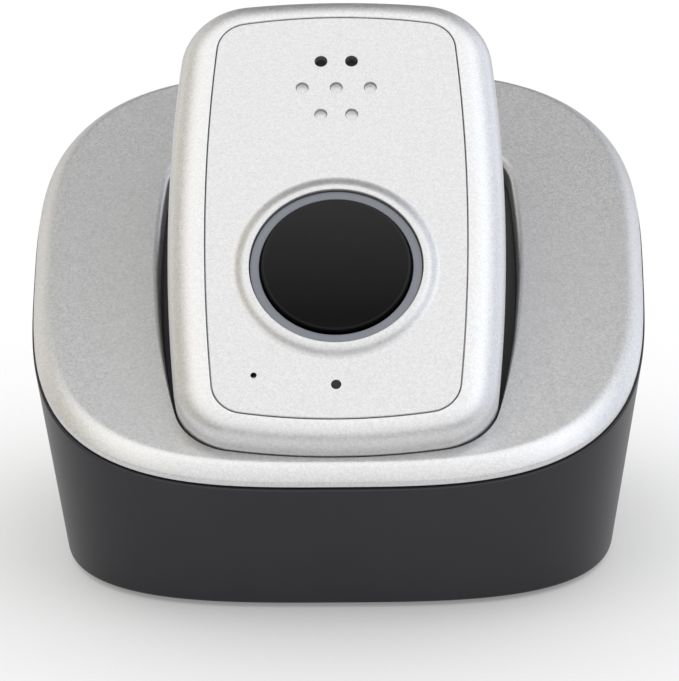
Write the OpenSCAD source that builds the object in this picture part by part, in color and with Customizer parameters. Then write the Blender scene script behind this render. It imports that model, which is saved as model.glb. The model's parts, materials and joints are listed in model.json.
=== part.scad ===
// Mobile medical alert pendant standing in its charging cradle.
// Millimetres, +Z up, the front faces -Y, the feet stand on z = 0.

/* [Cradle] */
// Width of the cradle at the seam
cradle_w = 95; // [92:1:102]
// Depth of the cradle at the seam
cradle_d = 90; // [88:1:96]
// Height of the seam at the front
seam_front_z = 19; // [18:0.5:21]
// Height of the seam at the back
seam_back_z = 60; // [57:0.5:62]
// Lean of the body wall away from upright
wall_draft = 7.5; // [6:0.5:9]
// Squareness of the plan, 2 is an ellipse
plan_power = 3.2; // [3:0.1:3.8]
// Wall of the cradle body
body_wall = 2; // [1.6:0.1:2.2]
// Rounding under the bottom edge of the body
toe_round = 0.6; // [0.3:0.1:1]

/* [Cover] */
// Set-back of the cover from the body's wall
cover_in = 0.25; // [0.1:0.05:0.4]
// Upright band of the cover above the seam
cover_lip = 0.8; // [0.5:0.1:1.2]
// Height of the rounding at the cover's edge, and its width at the front and back
cover_round = 1.8; // [1.4:0.1:2]
// Width of that rounding at the two sides
cover_side = 3; // [2:0.1:3.6]
// Thickness of the sloping deck
cover_t = 2; // [1.6:0.1:2.2]
// Depth of the tongue inside the body
tongue_h = 2; // [1.5:0.25:2.5]
// Thickness of the tongue
tongue_t = 0.9; // [0.8:0.1:1]
// Wall of the skirt that hangs around the pocket
skirt_w = 0.7; // [0.6:0.05:0.8]
// Rounding of the pocket's mouth where it is widest
pocket_edge = 1.15; // [0.8:0.05:1.6]
// Place of the mouth's widest point above the pendant's middle
mouth_wide_at = 10; // [9:0.5:11]
// Radius of the mouth's side
mouth_side_r = 150; // [145:1:160]
// Gap between the pendant's foot and the front of the mouth
mouth_gap = 0.15; // [0.1:0.05:0.5]

/* [Dock] */
// Distance of the pendant's foot from the front of the cradle
dock_margin = 2.9; // [2.8:0.1:4]
// Depth of the pendant's foot below the cover
dock_sink = 0.2; // [0:0.1:0.6]
// Extra half-width of the pocket beside the pendant
pocket_side = 2.75; // [2.6:0.05:3.4]
// Place of the pocket's widest point above the pendant's middle
pocket_wide_at = 8; // [7:0.5:10]
// Top end of the pocket above the pendant's middle
pocket_top = 31.5; // [29:0.5:32.5]
// Radius of the pocket's side
pocket_side_r = 168; // [160:1:185]
// Radius of the pocket's top corners
pocket_corner_r = 10.6; // [10:0.1:11]
// Wall of the dock cup
cup_wall = 1.8; // [1.4:0.1:2]
// Room under the pendant's heel
heel_room = 1; // [0.6:0.1:1.6]
// Tilt of the cup's floor from the pendant's back
floor_tilt = 8.5; // [8:0.25:9.5]
// Width of the contact pedestal
pedestal_w = 30; // [28:1:34]
// Length of the contact pedestal
pedestal_l = 31; // [28:1:33]

/* [Pendant] */
// Width of the pendant
pendant_w = 50.6; // [48.6:0.2:51.4]
// Length of the pendant
pendant_l = 77.8; // [75:0.1:79]
// Thickness of the pendant
pendant_t = 22; // [21:0.5:23]
// Lean of the face from level
lean = 45.6; // [44:0.2:47]
// Place of the pendant's widest point above its middle
wide_at = 1.8; // [0:0.1:3]
// Radius of the bulging sides
side_r = 278; // [250:2:320]
// Radius of the top end
end_r = 149; // [130:1:165]
// Radius of the top corners
corner_r = 11.3; // [10.6:0.1:12]
// Radius of the bottom end
low_end_r = 89; // [80:1:110]
// Radius of the bottom corners
low_corner_r = 10; // [9.6:0.1:10.6]
// Width of the rounded bezel at the sides
bezel_w = 5.7; // [5.2:0.1:6.2]
// Width of the rounded bezel at the ends
bezel_end = 4.4; // [4:0.1:5]
// Depth of the rounded bezel
bezel_drop = 3.6; // [3:0.1:4.2]
// Rounding of the back edge
back_round = 5; // [4:0.25:5.5]
// Wall of the two shells
shell_wall = 1.8; // [1.6:0.1:2]
// Depth of the joint line below the face
joint_n = 12; // [11.5:0.25:12.5]
// Thickness of the gasket in the joint
gasket_t = 0.4; // [0.3:0.1:0.6]
// Radius of the front panel's sides
panel_side_r = 304; // [270:2:340]
// Radius of the front panel's ends
panel_end_r = 92; // [80:1:110]
// Radius of the front panel's corners
panel_corner_r = 5; // [4:0.1:6]
// Thickness of the front panel
panel_t = 1.4; // [1.2:0.1:1.6]
// Ledge below the panel
ledge_w = 1.8; // [1.4:0.1:2]
// Thickness of the ledge
ledge_t = 1.2; // [1:0.1:1.4]

/* [Button] */
// Distance of the button below the pendant's middle
button_drop = 9.7; // [9:0.1:10.4]
// Radius of the button cap
cap_r = 11.05; // [10.8:0.05:11.4]
// Height of the cap above the panel
cap_rise = 1; // [0.9:0.05:1.3]
// Rounding of the cap's rim
cap_round = 0.55; // [0.4:0.05:0.7]
// Width of the grey ring
ring_w = 1.35; // [1.1:0.05:1.5]
// Height of the ring above the panel
ring_rise = 0.2; // [0.1:0.05:0.4]
// Width of the raised collar
collar_w = 2.2; // [2:0.1:2.6]
// Height of the raised collar
collar_h = 0.65; // [0.5:0.05:0.9]
// Level crown of the collar beside the ring
collar_flat = 0.7; // [0.4:0.05:0.9]
// Travel of the button
press_travel = 0.7; // [0.5:0.1:0.8]
// Side of the switch body
switch_w = 6.2; // [6:0.1:6.4]
// Height of the switch body
switch_h = 3.4; // [3.2:0.1:3.6]
// Radius of the switch plunger
plunger_r = 1.6; // [1.4:0.1:1.8]

/* [Face details] */
// Middle of the speaker pattern below the pendant's top end
speaker_inset = 17.35; // [17:0.05:17.8]
// Radius of each speaker hole and dimple
sound_r = 1.02; // [0.9:0.01:1.1]
// Spacing of the holes across
sound_pitch = 5.2; // [4.8:0.1:5.6]
// Spacing of the rows
sound_row = 4.8; // [4.6:0.1:5]
// Depth of the blind dimples
dimple_depth = 0.7; // [0.5:0.1:0.9]
// Microphone hole, left of the middle
mic_x = 11.9; // [11.4:0.1:12.4]
// Microphone hole, above the pendant's bottom end
mic_up = 11.45; // [11:0.05:11.8]
// Radius of the microphone hole
mic_r = 0.42; // [0.35:0.01:0.5]
// Status light, above the pendant's bottom end
light_up = 9.9; // [9.5:0.05:10.3]
// Radius of the light pipe's tip
light_r = 0.62; // [0.5:0.02:0.7]

/* [Inside the pendant] */
// Depth of the main board's front below the face
board_n = 8.2; // [8:0.1:8.6]
// Thickness of the main board
board_t = 1.2; // [1:0.1:1.4]
// Radius of the speaker
speaker_r = 8.5; // [7.5:0.25:8.5]
// Thickness of the speaker
speaker_t = 4; // [3.5:0.1:4.2]
// Room between each end of the pendant and the stack of battery and cell module
stack_inset = 11.35; // [11.2:0.05:12]
// Gap between the battery and the cell module
stack_gap = 1.5; // [1:0.1:2]
// Width of the battery
battery_w = 34; // [30:0.5:36]
// Thickness of the battery
battery_t = 8; // [7:0.1:8.4]
// Cell module size across, along and through
module_size = [20, 20, 2.4];
// Place of the cell module, left of the middle
module_x = 9; // [8:0.1:9.5]
// Position antenna size across, along and through
patch_size = [10, 10, 4];
// Place of the position antenna, right of the middle
patch_x = 8.5; // [8:0.1:9]
// Middle of the position antenna above the pendant's bottom end
patch_up = 9.35; // [9:0.05:10]
// Cell antenna size across, along and through
strip_size = [22, 4, 2];

/* [Charging] */
// Half spacing of the two charge pads
pad_x = 5; // [4.5:0.1:5.5]
// Distance of the pads above the pendant's bottom end
pad_up = 7.55; // [7.4:0.05:7.9]
// Radius of a charge pad
pad_r = 1.9; // [1.7:0.05:2]
// Radius of a contact pin
pin_r = 0.75; // [0.6:0.05:0.8]
// Travel of a contact pin
pin_travel = 0.6; // [0.4:0.1:0.8]
// Height of the jack's axis
jack_z = 13.6; // [13:0.1:14.5]
// Radius of the jack's socket
socket_r = 3.15; // [3.05:0.05:3.3]
// Radius of the jack's centre pin
jack_pin_r = 1; // [0.85:0.05:1.05]
// Radius of one insulated lead
lead_r = 0.7; // [0.5:0.05:0.9]

/* [Feet and fasteners] */
// Radius of a rubber foot
foot_r = 5; // [4:0.25:6]
// Height of the feet below the base
foot_rise = 0.6; // [0.4:0.1:1]
// Thickness of the base plate
plate_t = 2.4; // [2.2:0.1:2.8]
// Radius of a base screw's thread
base_screw_r = 1.5; // [1.25:0.05:1.5]
// Radius of a small screw's thread
small_screw_r = 1; // [0.8:0.05:1]

/* [Clearances] */
// Open line between cover and body
seam_gap = 0.3; // [0.2:0.05:0.4]
// Clearance between fixed neighbours
fit = 0.1; // [0.05:0.01:0.15]
// Clearance around moving pieces
run = 0.3; // [0.25:0.05:0.35]
// Sliding clearance of small shafts
slide = 0.05; // [0.03:0.01:0.08]

/* [Hidden] */
$fn = 48;
ring_n = 96;
end_n = 7;
corner_n = 9;
side_n = 16;
far = 200;
bite = 0.5;

draft_t = tan(wall_draft);
slope = (seam_back_z - seam_front_z) / cradle_d;
slope_a = atan(slope);
seam_mid_z = (seam_front_z + seam_back_z) / 2;
plan_y = -draft_t * (seam_back_z - seam_front_z) / 2;
half_d = cradle_d / 2 - plan_y - seam_back_z * draft_t;
half_w = cradle_w / 2 - (seam_mid_z + slope * plan_y) * draft_t;
deck_t = seam_gap + cover_lip + cover_round;
under_t = deck_t - cover_t;
tongue_in = body_wall + fit + tongue_h * draft_t;
skirt_t = -1.6;
plate_top = foot_rise + plate_t;

half_l = pendant_l / 2;
speaker_v = half_l - speaker_inset;
mic_drop = half_l - mic_up;
light_drop = half_l - light_up;
pad_drop = half_l - pad_up;
patch_drop = half_l - patch_up;
module_v = half_l - stack_inset - module_size.y / 2;
battery_l = pendant_l - 2 * stack_inset - module_size.y - stack_gap;
battery_v = battery_l / 2 + stack_inset - half_l;
foot_y = dock_margin - cradle_d / 2;
foot_z = seam_mid_z + slope * foot_y + deck_t - dock_sink;
face_y = foot_y + half_l * cos(lean) - bezel_drop * sin(lean);
face_z = foot_z + half_l * sin(lean) + bezel_drop * cos(lean);

// outline: half width, low end, high end, widest at, side radius, top end and corner, bottom end and corner
pendant_form = [
    pendant_w / 2, -half_l, half_l, wide_at, side_r, end_r, corner_r, low_end_r, low_corner_r
];
panel_form = [
    pendant_w / 2 - bezel_w, -half_l + bezel_end, half_l - bezel_end, wide_at,
    panel_side_r, panel_end_r, panel_corner_r, panel_end_r, panel_corner_r
];
pocket_form = [
    pendant_w / 2 + pocket_side, -half_l - run, pocket_top, pocket_wide_at,
    pocket_side_r, end_r - 4, pocket_corner_r, low_end_r, low_corner_r
];
mouth_form = [
    pocket_form[0] + pocket_edge, -half_l - mouth_gap, pocket_top + pocket_edge, mouth_wide_at,
    mouth_side_r, end_r - 4, pocket_corner_r, low_end_r, low_corner_r
];

back_n = -pendant_t;
heel_n = back_n - heel_room;
rest_n = back_n - run;
rear_top_n = -joint_n - gasket_t;
ring_r = cap_r + run + ring_w;
board_back_n = -board_n - board_t;
pad_tape = 0.2;
switch_top_n = switch_h - board_n;
flange_t = 1;
flange_top_n = -panel_t - fit;
plunger_top_n = flange_top_n - flange_t - 1.5;
mesh_t = 0.25;
speaker_top_n = -panel_t - mesh_t;
post_r = 3.4;
post_in = shell_wall + post_r - bite * 0.8;
head_r = 1.9 * small_screw_r;
head_t = 1.2;
case_cross = [2.2, 0.5];
case_head_n = back_n + 1.4;
case_seat_n = case_head_n + head_t;

pin_tip_n = back_n + fit - 0.02;
pad_face_n = back_n + fit;
pad_t = 2;
barrel_r = pin_r + slide + 0.45;
ceiling_n = rest_n - 1.6;
contact_n = ceiling_n - 2.3;
contact_t = 1.2;
contact_size = [26, 9.5];
contact_post_x = 10;
contact_post_r = 2.2;
pedestal_low = -half_l + 2.6;

jack_setback = 1.2;
jack_wall_y = plan_y + half_d + jack_z * draft_t;
nose_end_y = jack_wall_y - 0.5;
jack_front_y = jack_wall_y - body_wall - jack_setback;
jack_size = [9, 13.5, 11];
jack_root_r = jack_pin_r * 0.8;
nose_wall = 1.05;
socket_depth = 9.5;
power_board_t = 1.6;
power_board_top = jack_z - 6.3;
power_board_size = [30, 20];
power_board_y = jack_front_y - power_board_size.y / 2 - 1.2;
power_post_r = 3;
power_post_x = power_board_size.x / 2 - power_post_r - 1;

base_head_r = 2.8;
base_head_t = 1.4;
base_post_r = 3.4;
base_post_in = body_wall + fit + base_head_r + 1.4;
base_post_h = 11;
base_screw_l = plate_t - base_head_t + base_post_h - 3;
base_cross = [3.4, 0.8];
foot_in = 14;
foot_sunk = 1.4;
ear_r = 3.4;
ear_y = [-20, 8];
ear_x = pendant_w / 2 + pocket_side + cup_wall + ear_r;
ear_t = 2;
boss_low = -5;
boss_r = 2.4;

// signed power that squares off a circle
function squared(u) = sign(u) * pow(abs(u), 2 / plan_power);
function unit_x(i) = squared(cos(360 * i / ring_n - 90));
function unit_y(i) = squared(sin(360 * i / ring_n - 90));

// ring of the cradle wall, set in by s, raised t above the sloping seam and narrowed by c at each side
function seam_ring(s, t, c = 0) = [
    for (i = [0 : ring_n - 1])
        let (cy = unit_y(i))
        let (z = (seam_mid_z + slope * (plan_y + (half_d - s) * cy)) / (1 - slope * draft_t * cy))
        [(half_w - s - c + z * draft_t) * unit_x(i), plan_y + (half_d - s + z * draft_t) * cy, z + t]
];

// level ring of the cradle wall, set in by s at height z
function level_ring(s, z) = [
    for (i = [0 : ring_n - 1])
        [(half_w - s + z * draft_t) * unit_x(i), plan_y + (half_d - s + z * draft_t) * unit_y(i), z]
];
function flat(ring) = [for (p = ring) [p.x, p.y]];

// point where two circles cross, to the right or left of the line between their centres
function crossing(a, ra, b, rb, side) =
    let (d = norm(b - a), u = (b - a) / d)
    let (k = (ra * ra - rb * rb + d * d) / (2 * d))
    let (h = side * sqrt(ra * ra - k * k))
    a + k * u + h * [u.y, -u.x];
function heading(p, q) = atan2(q.y - p.y, q.x - p.x);
function arc(c, r, a, b, n) = [
    for (i = [0 : n - 1])
        let (t = a + (b - a) * i / n)
        c + r * [cos(t), sin(t)]
];
function side_centre(f) = [f[0] - f[4], f[3]];
function low_centre(f) = [0, f[1] + f[7]];
function high_centre(f) = [0, f[2] - f[5]];
function low_corner(f) = crossing(side_centre(f), f[4] - f[8], low_centre(f), f[7] - f[8], 1);
function high_corner(f) = crossing(side_centre(f), f[4] - f[6], high_centre(f), f[5] - f[6], -1);

// closed outline of tangent arcs, grown outwards by g
function outline(f, g) =
    let (a = side_centre(f), b = low_centre(f), t = high_centre(f), c = low_corner(f), d = high_corner(f))
    let (half = concat(
        arc(b, f[7] + g, -90, heading(b, c), end_n),
        arc(c, f[8] + g, heading(b, c), heading(a, c), corner_n),
        arc(a, f[4] + g, heading(a, c), heading(a, d), side_n),
        arc(d, f[6] + g, heading(a, d), heading(t, d), corner_n),
        arc(t, f[5] + g, heading(t, d), 90, end_n),
        [[0, f[2] + g]]
    ))
    concat(half, [for (i = [len(half) - 2 : -1 : 1]) [-half[i].x, half[i].y]]);
function form_ring(f, g, n) = [for (p = outline(f, g)) [p.x, p.y, n]];
// outline that lies the share k of the way from form a to form b
function between(a, b, k) = (1 - k) * outline(a, 0) + k * outline(b, 0);

// from the pendant's own axes to the cradle's
function placed(x, v, n) = [
    x, face_y + v * cos(lean) - n * sin(lean), face_z + v * sin(lean) + n * cos(lean)
];
// depth from the face, at v, of the plane t above the seam
function plane_n(v, t) =
    (seam_mid_z + t + slope * face_y - face_z + v * (slope * cos(lean) - sin(lean)))
    / (cos(lean) + slope * sin(lean));
function pocket_ring(points, t, drop = 0) = [for (p = points) placed(p.x, p.y, plane_n(p.y, t) - drop)];
low_post = low_corner(pendant_form) + (low_corner_r - post_in) * [cos(45), -sin(45)];
high_post = high_corner(pendant_form) + (corner_r - post_in) * [cos(45), sin(45)];
post_places = [for (x = [-1, 1], p = [low_post, high_post]) [x * p.x, p.y]];
plan_corners = [12, 36, 60, 84];

module loft(rings, closed = false) {
    n = len(rings[0]);
    m = len(rings);
    spans = closed ? m : m - 1;
    walls = [
        for (i = [0 : spans - 1], j = [0 : n - 1])
            let (k = (i + 1) % m, l = (j + 1) % n)
            each [[i * n + j, k * n + j, k * n + l], [i * n + j, k * n + l, i * n + l]]
    ];
    caps = closed ? [] : [[for (j = [0 : n - 1]) j], [for (j = [n - 1 : -1 : 0]) (m - 1) * n + j]];
    polyhedron([for (r = rings) each r], concat(walls, caps));
}

module in_pendant() {
    translate([0, face_y, face_z]) rotate([lean, 0, 0]) children();
}

// frame on the sloping deck, z = 0 on its top
module on_deck() {
    translate([0, 0, seam_mid_z + deck_t]) rotate([slope_a, 0, 0]) children();
}

module at_points(points) {
    for (p = points) translate([p.x, p.y, 0]) children();
}

// round bar between two depths
module bar(r, low, high) {
    translate([0, 0, low]) cylinder(h = high - low, r = r);
}

// block centred across and along, between two depths
module block(size, low, high) {
    translate([-size.x / 2, -size.y / 2, low]) cube([size.x, size.y, high - low]);
}

module pendant_slab(g, low, high) {
    translate([0, 0, low]) linear_extrude(high - low) polygon(outline(pendant_form, g));
}

// round-headed screw, head below its seat, thread above
module screw(r, head, head_h, length) {
    bar(head, -head_h, 0);
    bar(r, -bite, length);
}

module base_body() {
    color([0.2, 0.2, 0.22])
    difference() {
        union() {
            loft([
                level_ring(toe_round, foot_rise),
                level_ring(0, foot_rise + toe_round),
                seam_ring(0, 0),
                seam_ring(body_wall, 0),
                level_ring(body_wall, foot_rise)
            ], true);
            at_points([for (i = plan_corners) level_ring(base_post_in, plate_top)[i]])
                bar(base_post_r, plate_top, plate_top + base_post_h);
            for (i = plan_corners)
                translate(level_ring(base_post_in, plate_top)[i])
                rotate(360 * i / ring_n - 90)
                translate([(base_post_in - body_wall / 2) / 2, 0, 0])
                block([base_post_in - body_wall / 2, body_wall], 0, base_post_h);
        }
        at_points([for (i = plan_corners) level_ring(base_post_in, plate_top)[i]])
            bar(base_screw_r - fit, plate_top - 1, plate_top + base_post_h - 1.5);
        translate([0, jack_front_y - 2, jack_z])
            rotate([-90, 0, 0]) cylinder(h = far, r = socket_r + nose_wall + fit * 2);
    }
}

module base_plate() {
    color([0.16, 0.16, 0.17])
    difference() {
        union() {
            translate([0, 0, foot_rise])
                linear_extrude(plate_t) polygon(flat(level_ring(body_wall + fit, foot_rise)));
            translate([0, power_board_y, 0]) at_points([[-power_post_x, 0], [power_post_x, 0]])
                bar(power_post_r, plate_top - bite, power_board_top - power_board_t);
        }
        at_points([for (i = plan_corners) level_ring(base_post_in, plate_top)[i]]) {
            bar(base_screw_r + fit, 0, far);
            bar(base_head_r + fit, 0, foot_rise + base_head_t + fit);
        }
        at_points([for (i = plan_corners) level_ring(foot_in, foot_rise)[i]])
            bar(foot_r + fit, 0, foot_rise + foot_sunk);
        translate([0, power_board_y, 0]) at_points([[-power_post_x, 0], [power_post_x, 0]])
            bar(small_screw_r - fit, foot_rise + 1, far);
    }
}

module rubber_feet() {
    color([0.07, 0.07, 0.07])
    at_points([for (i = plan_corners) level_ring(foot_in, foot_rise)[i]])
        bar(foot_r, 0, foot_rise + foot_sunk);
}

module base_screws() {
    color([0.6, 0.6, 0.62])
    at_points([for (i = plan_corners) level_ring(base_post_in, plate_top)[i]])
        translate([0, 0, foot_rise + base_head_t])
        difference() {
            screw(base_screw_r - fit, base_head_r, base_head_t - fit, base_screw_l);
            for (a = [0, 90]) rotate(a) block(base_cross, -base_head_t - 1, -base_head_t / 2);
        }
}

module top_cover() {
    color([0.75, 0.75, 0.77])
    difference() {
        union() {
            loft(concat(
                [seam_ring(cover_in, seam_gap), seam_ring(cover_in, seam_gap + cover_lip)],
                [for (b = [15 : 15 : 90])
                    seam_ring(
                        cover_in + cover_round * (1 - cos(b)), seam_gap + cover_lip + cover_round * sin(b),
                        (cover_side - cover_round) * (1 - cos(b))
                    )],
                [for (b = [0 : 22.5 : 90])
                    pocket_ring(between(mouth_form, pocket_form, sin(b)), deck_t, pocket_edge * (1 - cos(b)))],
                [pocket_ring(outline(pocket_form, 0), skirt_t)],
                [for (t = [skirt_t, under_t]) pocket_ring(outline(pocket_form, skirt_w), t)],
                [seam_ring(tongue_in + tongue_t, under_t), seam_ring(tongue_in + tongue_t, -tongue_h)],
                [seam_ring(tongue_in, -tongue_h), seam_ring(body_wall + fit, seam_gap)]
            ), true);
            on_deck() at_points([for (x = [-ear_x, ear_x], y = ear_y) [x, y]])
                bar(boss_r, boss_low, -cover_t / 2);
        }
        on_deck() at_points([for (x = [-ear_x, ear_x], y = ear_y) [x, y]])
            bar(small_screw_r - fit, boss_low - 1, -cover_t + 0.3);
    }
}

// half-space above the tilted floor, lowered by drop
module above_floor(drop) {
    in_pendant() translate([0, -half_l, heel_n - drop])
        rotate([-floor_tilt, 0, 0]) block([far, far * 2], 0, far);
}

module dock_cup() {
    color([0.13, 0.13, 0.14])
    difference() {
        union() {
            intersection() {
                in_pendant() translate([0, 0, -far / 2])
                    linear_extrude(far) polygon(outline(pocket_form, cup_wall));
                on_deck() block([far, far], -far, (skirt_t - fit - deck_t) * cos(slope_a));
                above_floor(cup_wall);
            }
            on_deck() for (x = [-1, 1], y = ear_y)
                translate([x * ear_x, y, 0]) {
                    bar(ear_r, boss_low - ear_t, boss_low);
                    translate([-x * ear_r, 0, 0]) block([2 * ear_r, 2 * ear_r], boss_low - ear_t, boss_low);
                }
        }
        difference() {
            intersection() {
                in_pendant() translate([0, 0, -far / 2])
                    linear_extrude(far) polygon(outline(pocket_form, 0));
                above_floor(0);
            }
            in_pendant() translate([0, pedestal_low + pedestal_l / 2, 0])
                block([pedestal_w, pedestal_l], -far, rest_n);
        }
        in_pendant() translate([0, pedestal_low + pedestal_l / 2, 0])
            difference() {
                block([pedestal_w - 2 * cup_wall, pedestal_l - 2 * cup_wall], -far, ceiling_n);
                at_points([for (x = [-1, 1]) [x * contact_post_x, -pad_drop - pedestal_low - pedestal_l / 2]])
                    bar(contact_post_r, contact_n, 0);
            }
        in_pendant() translate([0, -pad_drop, 0]) {
            at_points([[-pad_x, 0], [pad_x, 0]]) bar(barrel_r + fit, -far, 0);
            at_points([[-contact_post_x, 0], [contact_post_x, 0]])
                bar(small_screw_r - fit, -far, ceiling_n + 0.6);
        }
        on_deck() at_points([for (x = [-ear_x, ear_x], y = ear_y) [x, y]])
            bar(small_screw_r + fit, -far, 0);
    }
}

module dock_screws() {
    color([0.6, 0.6, 0.62])
    on_deck() at_points([for (x = [-ear_x, ear_x], y = ear_y) [x, y]])
        translate([0, 0, boss_low - ear_t]) screw(small_screw_r - fit, head_r, head_t, ear_t + 2.6);
}

module contact_board() {
    color([0.05, 0.3, 0.15])
    in_pendant() translate([0, -pad_drop, 0])
        difference() {
            block(contact_size, contact_n - contact_t, contact_n);
            at_points([[-contact_post_x, 0], [contact_post_x, 0]]) bar(small_screw_r + fit, -far, 0);
            at_points([[-pad_x, 0], [pad_x, 0]]) bar(barrel_r + fit, -far, 0);
        }
}

module board_screws() {
    color([0.6, 0.6, 0.62]) {
        in_pendant() translate([0, -pad_drop, contact_n - contact_t])
            at_points([[-contact_post_x, 0], [contact_post_x, 0]])
            screw(small_screw_r - fit, head_r, head_t, contact_t + 2.4);
        translate([0, power_board_y, power_board_top])
            at_points([[-power_post_x, 0], [power_post_x, 0]])
            mirror([0, 0, 1]) screw(small_screw_r - fit, head_r, head_t, power_board_t + 2.4);
    }
}

module contact_barrels() {
    color([0.8, 0.65, 0.3])
    in_pendant() translate([0, -pad_drop, 0])
        at_points([[-pad_x, 0], [pad_x, 0]])
        difference() {
            bar(barrel_r, contact_n - contact_t - 0.6, rest_n - 0.2);
            bar(pin_r + slide, contact_n - 0.4, 0);
        }
}

module contact_pin(x) {
    color([0.9, 0.75, 0.35])
    in_pendant() translate([x, -pad_drop, 0]) {
        bar(pin_r, contact_n - 0.3 + pin_travel, pin_tip_n - pin_r / 2);
        translate([0, 0, pin_tip_n - pin_r / 2]) cylinder(h = pin_r / 2, r1 = pin_r, r2 = pin_r / 2);
    }
}

module contact_pin_left() {
    contact_pin(-pad_x);
}

module contact_pin_right() {
    contact_pin(pad_x);
}

module power_board() {
    color([0.05, 0.3, 0.15])
    translate([0, power_board_y, 0])
        difference() {
            block(power_board_size, power_board_top - power_board_t, power_board_top);
            at_points([[-power_post_x, 0], [power_post_x, 0]]) bar(small_screw_r + fit, 0, far);
        }
}

module power_jack() {
    color([0.08, 0.08, 0.09])
    difference() {
        union() {
            translate([0, jack_front_y - jack_size.y / 2, 0])
                block(jack_size, power_board_top, power_board_top + jack_size.z);
            translate([0, jack_front_y - 1, jack_z])
                rotate([-90, 0, 0]) cylinder(h = nose_end_y - jack_front_y + 1, r = socket_r + nose_wall);
        }
        translate([0, nose_end_y - socket_depth, jack_z]) rotate([-90, 0, 0]) cylinder(h = far, r = socket_r);
        translate([0, jack_front_y - jack_size.y + 1, jack_z])
            rotate([-90, 0, 0]) cylinder(h = jack_size.y, r = jack_root_r);
    }
}

module jack_pin() {
    color([0.85, 0.83, 0.78])
    translate([0, nose_end_y - socket_depth, jack_z])
        rotate([-90, 0, 0]) {
            cylinder(h = socket_depth - 1, r = jack_pin_r);
            bar(jack_root_r, jack_front_y - jack_size.y + 1 - nose_end_y + socket_depth, bite);
        }
}

// four-point curve and its round sweep
function curve(p, t) =
    pow(1 - t, 3) * p[0] + 3 * t * pow(1 - t, 2) * p[1] + 3 * t * t * (1 - t) * p[2] + pow(t, 3) * p[3];
function slant(p, t) = curve(p, t + 0.01) - curve(p, t - 0.01);
function sweep_ring(p, t, r, n) =
    let (d = slant(p, t) / norm(slant(p, t)))
    let (u = cross([1, 0, 0], d) / norm(cross([1, 0, 0], d)))
    let (w = cross(d, u))
    [for (i = [0 : n - 1]) curve(p, t) + r * (cos(360 * i / n) * u + sin(360 * i / n) * w)];

module power_leads() {
    lead_v = -pad_drop + 3.2;
    lead_x = pad_x + 1.8;
    for (x = [-1, 1])
        color(x < 0 ? [0.1, 0.1, 0.1] : [0.6, 0.08, 0.08])
        loft([
            for (t = [0 : 1 / 16 : 1])
                sweep_ring([
                    [x * lead_x, power_board_y - 8, power_board_top],
                    [x * lead_x, power_board_y - 8, power_board_top + 9],
                    placed(x * lead_x, lead_v, contact_n - contact_t - 12),
                    placed(x * lead_x, lead_v, contact_n - contact_t)
                ], t, lead_r, 10)
        ]);
}

module front_shell() {
    inner = -shell_wall;
    seat = -panel_t - fit / 2;
    color([0.78, 0.78, 0.8])
    in_pendant()
    difference() {
        union() {
            loft(concat(
                [form_ring(pendant_form, 0, -joint_n)],
                [for (b = [0 : 15 : 90])
                    let (drop = bezel_drop * (1 - sin(b)))
                    [for (p = between(pendant_form, panel_form, 1 - cos(b))) [p.x, p.y, -drop]]],
                [form_ring(panel_form, 0, seat)],
                [for (n = [seat, seat - ledge_t]) form_ring(panel_form, -ledge_w, n)],
                [for (n = [-bezel_drop - 1, -joint_n]) form_ring(pendant_form, inner, n)]
            ), true);
            at_points(post_places) bar(post_r, -joint_n, -bezel_drop - 0.4);
        }
        at_points(post_places) bar(small_screw_r - fit, -far, -bezel_drop - 2);
    }
}

// raised bead: level beside the ring, then falling to the panel
module collar() {
    low = ring_r + fit;
    rotate_extrude($fn = 96)
        polygon(concat(
            [[low, -bite], [low, collar_h]],
            [for (b = [0 : 10 : 90])
                [low + collar_flat + (collar_w - collar_flat) * b / 90, collar_h * pow(cos(b), 2)]],
            [[low + collar_w, -bite]]
        ));
}

module front_panel() {
    through = [for (x = [-1, 1]) [x * sound_pitch * 0.45, speaker_v + sound_row]];
    blind = concat(
        [for (x = [-1 : 1]) [x * sound_pitch, speaker_v]],
        [for (x = [-1, 1]) [x * sound_pitch * 0.45, speaker_v - sound_row]]
    );
    color([0.88, 0.88, 0.89])
    in_pendant()
    difference() {
        union() {
            translate([0, 0, -panel_t]) linear_extrude(panel_t) polygon(outline(panel_form, -fit));
            translate([0, -button_drop, 0]) collar();
        }
        translate([0, -button_drop, 0]) bar(ring_r + fit, -far, far);
        at_points(through) bar(sound_r, -far, far);
        at_points(blind) bar(sound_r, -dimple_depth, far);
        translate([-mic_x, -mic_drop, 0]) bar(mic_r, -far, far);
        translate([0, -light_drop, 0]) bar(light_r + fit, -far, far);
    }
}

module rear_shell() {
    inner = -shell_wall;
    color([0.74, 0.74, 0.76])
    in_pendant()
    difference() {
        union() {
            loft(concat(
                [for (b = [90 : -15 : 0])
                    form_ring(pendant_form, -back_round * (1 - cos(b)), back_n + back_round * (1 - sin(b)))],
                [form_ring(pendant_form, 0, rear_top_n)],
                [for (n = [rear_top_n, back_n + back_round]) form_ring(pendant_form, inner, n)],
                [form_ring(pendant_form, -back_round, back_n + shell_wall)]
            ));
            at_points(post_places) bar(post_r, back_n + shell_wall / 2, rear_top_n);
        }
        at_points(post_places) {
            bar(small_screw_r + fit, -far, 0);
            bar(head_r + fit, -far, case_seat_n);
        }
        translate([0, -pad_drop, 0])
            at_points([[-pad_x, 0], [pad_x, 0]]) bar(pad_r, -far, back_n + shell_wall + 1);
    }
}

module case_gasket() {
    color([0.1, 0.1, 0.1])
    in_pendant() translate([0, 0, rear_top_n])
        linear_extrude(gasket_t) difference() {
            polygon(outline(pendant_form, -shell_wall / 5));
            polygon(outline(pendant_form, -shell_wall + fit));
        }
}

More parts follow.
